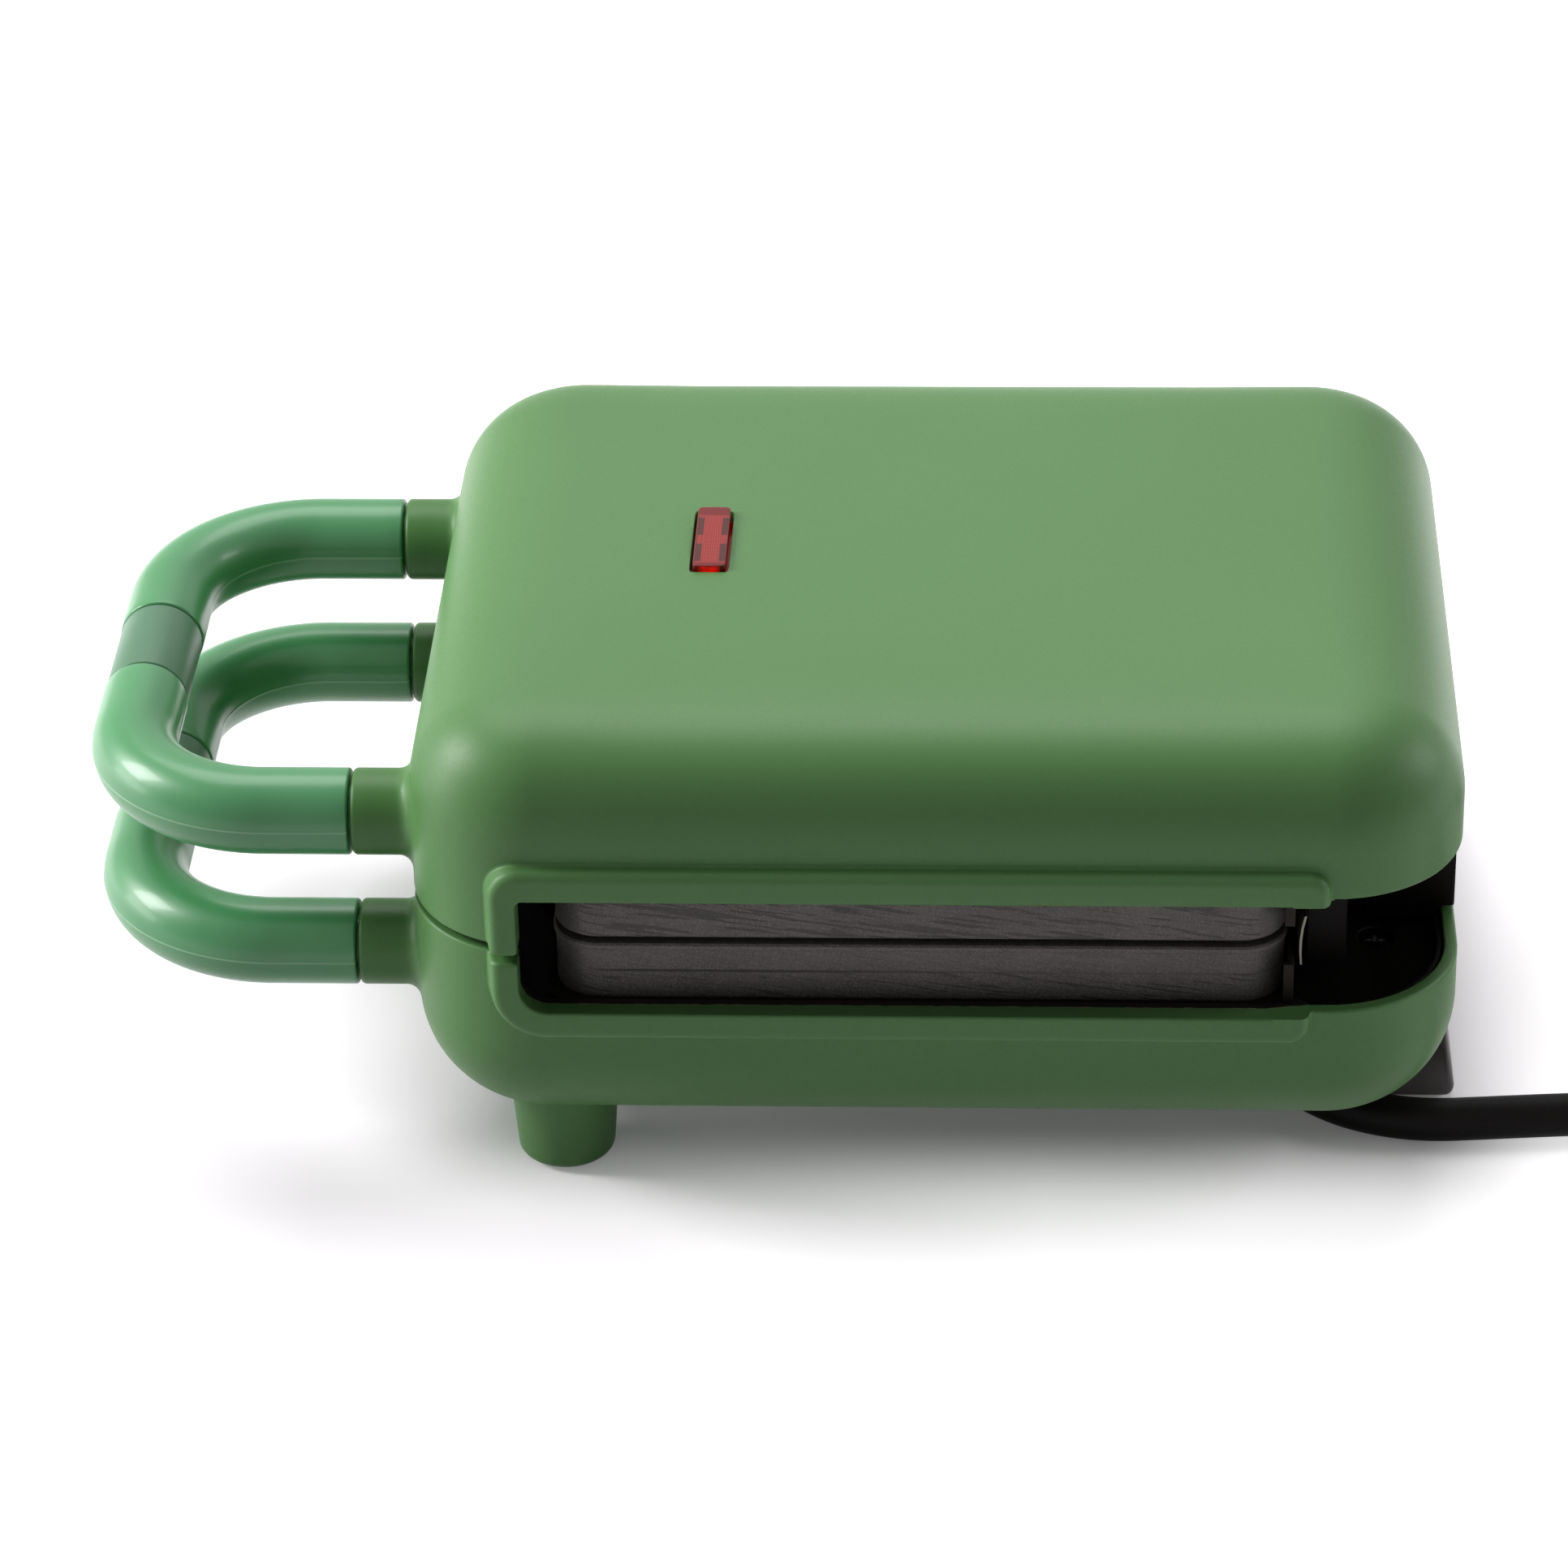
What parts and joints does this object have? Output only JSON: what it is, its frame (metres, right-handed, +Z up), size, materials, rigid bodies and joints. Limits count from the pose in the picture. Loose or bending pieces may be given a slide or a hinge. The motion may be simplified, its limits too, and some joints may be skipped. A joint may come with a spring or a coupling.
{
  "type": "snack maker",
  "caption": "Countertop snack maker: two rounded green halves hinged at one short end, plates seen through side windows, tubular loop handles, lamp, feet, cord with coil and plug.",
  "frame": {"origin": "on the table, under the middle of the object's box measured without its cord", "axes": "+X from the handles to the hinge, +Y away from the pictured long side, +Z up"},
  "size_m": [0.3994, 0.1812, 0.0942],
  "materials": {
    "shell_green": "satin moulded green",
    "handle_green": "glossy moulded green, slightly mottled",
    "sleeve_green": "satin grey-green",
    "liner_black": "matte black",
    "stand_black": "semi-gloss black",
    "plate_coating": "dark non-stick coating over cast metal",
    "heat_shield": "heat-browned sheet",
    "steel": "bright zinc plated",
    "pad_rubber": "matte",
    "lens_red": "clear red",
    "lamp_glass": "clear",
    "ceramic_white": "white heat-proof moulding",
    "cord_black": "satin black",
    "plug_brass": "bright"
  },
  "bodies": {
    "base": {"base_shell": "shell_green", "base_liner": "liner_black", "base_plate": "plate_coating", "base_reflector": "heat_shield", "base_heater": "steel", "base_hinge_block": "liner_black", "hinge_pin": "steel", "base_hinge_screw_1": "steel", "base_hinge_screw_2": "steel", "base_liner_screw_1": "steel", "base_liner_screw_2": "steel", "base_liner_screw_3": "steel", "base_liner_screw_4": "steel", "base_handle_near": "handle_green", "base_handle_far": "handle_green", "base_handle_sleeve": "sleeve_green", "base_handle_screw_1": "steel", "base_handle_screw_2": "steel", "front_foot_near": "shell_green", "front_foot_far": "shell_green", "front_foot_screw_1": "steel", "front_foot_screw_2": "steel", "front_foot_pad_1": "pad_rubber", "front_foot_pad_2": "pad_rubber", "rear_stand": "stand_black", "rear_stand_screw_1": "steel", "rear_stand_screw_2": "steel", "rear_stand_pad_1": "pad_rubber", "rear_stand_pad_2": "pad_rubber", "thermostat": "ceramic_white", "thermal_fuse": "steel", "terminal_block": "ceramic_white", "cord_gland": "liner_black", "cord": "cord_black", "cord_coil": "cord_black", "plug_body": "cord_black", "plug_pin_1": "plug_brass", "plug_pin_2": "plug_brass", "plug_earth_strap": "plug_brass"},
    "lid": {"lid_shell": "shell_green", "lid_liner": "liner_black", "lid_plate": "plate_coating", "lid_reflector": "heat_shield", "lid_heater": "steel", "lid_plate_spring": "steel", "lid_hinge_bracket": "liner_black", "lid_hinge_screw_1": "steel", "lid_hinge_screw_2": "steel", "lid_liner_screw_1": "steel", "lid_liner_screw_2": "steel", "lid_liner_screw_3": "steel", "lid_liner_screw_4": "steel", "lid_handle_near": "handle_green", "lid_handle_far": "handle_green", "lid_handle_sleeve": "sleeve_green", "lid_handle_screw_1": "steel", "lid_handle_screw_2": "steel", "lamp_lens": "lens_red", "lamp_holder": "liner_black", "neon_lamp": "lamp_glass"}
  },
  "joints": [
    {"name": "lid_hinge", "type": "hinge", "parent": "base", "child": "lid", "pos_m": [0.1132, 0, 0.0544], "axis": [0, 1, 0], "range_deg": [0, 100]}
  ]
}
